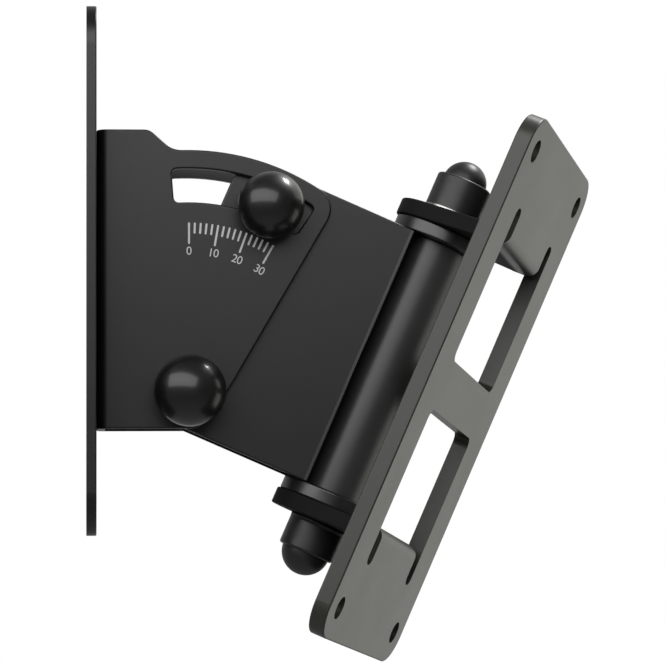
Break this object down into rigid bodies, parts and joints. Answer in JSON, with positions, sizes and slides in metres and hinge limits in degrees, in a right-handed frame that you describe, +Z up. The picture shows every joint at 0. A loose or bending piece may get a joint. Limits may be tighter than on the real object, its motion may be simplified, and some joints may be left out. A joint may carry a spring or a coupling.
{
  "type": "speaker wall bracket",
  "caption": "Steel wall bracket for a loudspeaker: a slotted yoke on a wall plate, a tilting channel arm with ball knobs, and a slotted plate that swivels on a tube.",
  "frame": {"origin": "centre of the wall plate's back face, where it lies on the wall", "axes": "+X out from the wall, +Z up along the wall, +Y across the wall, away from the knobs' side"},
  "size_m": [0.2499, 0.14, 0.3106],
  "materials": {
    "black_coat": "fine satin powder coat",
    "scale_print": "screen printed ink",
    "black_zinc": "black zinc plating",
    "knob_plastic": "polished",
    "cap_plastic": "satin",
    "bush_plastic": "satin",
    "brass": "turned"
  },
  "bodies": {
    "wall_mount": {"wall_plate": "black_coat", "tilt_yoke": "black_coat", "pivot_bolt": "black_zinc", "pivot_washers": "black_zinc"},
    "arm": {"tilt_arm": "black_coat", "swivel_tube": "black_coat", "upper_bush": "bush_plastic", "lower_bush": "bush_plastic", "pivot_spacer": "black_zinc", "clamp_spacer": "black_zinc", "clamp_bolt": "black_zinc", "clamp_washers": "black_zinc"},
    "head": {"speaker_plate": "black_coat", "swivel_bolt": "black_zinc", "swivel_nut": "black_zinc", "swivel_washers": "black_zinc", "upper_cap": "cap_plastic", "lower_cap": "cap_plastic"},
    "lower_knob": {"pivot_knob": "knob_plastic", "pivot_knob_insert": "brass"},
    "upper_knob": {"clamp_knob": "knob_plastic", "clamp_knob_insert": "brass"}
  },
  "joints": [
    {"name": "tilt", "type": "hinge", "parent": "wall_mount", "child": "arm", "pos_m": [0.0482, 0, -0.0565], "axis": [0, 1, 0], "range_deg": [-23.65, 6.35]},
    {"name": "pan", "type": "hinge", "parent": "arm", "child": "head", "pos_m": [0.12313, 0, -0.08931], "axis": [0.4011, 0, 0.916], "range_deg": [-40.35, 79.65]},
    {"name": "pivot_knob_turn", "type": "hinge", "parent": "wall_mount", "child": "lower_knob", "pos_m": [0.0482, -0.038, -0.0565], "axis": [0, -1, 0], "range_deg": [0, 360]},
    {"name": "clamp_knob_turn", "type": "hinge", "parent": "arm", "child": "upper_knob", "pos_m": [0.08619, -0.038, 0.03025], "axis": [0, -1, 0], "range_deg": [0, 360]}
  ]
}
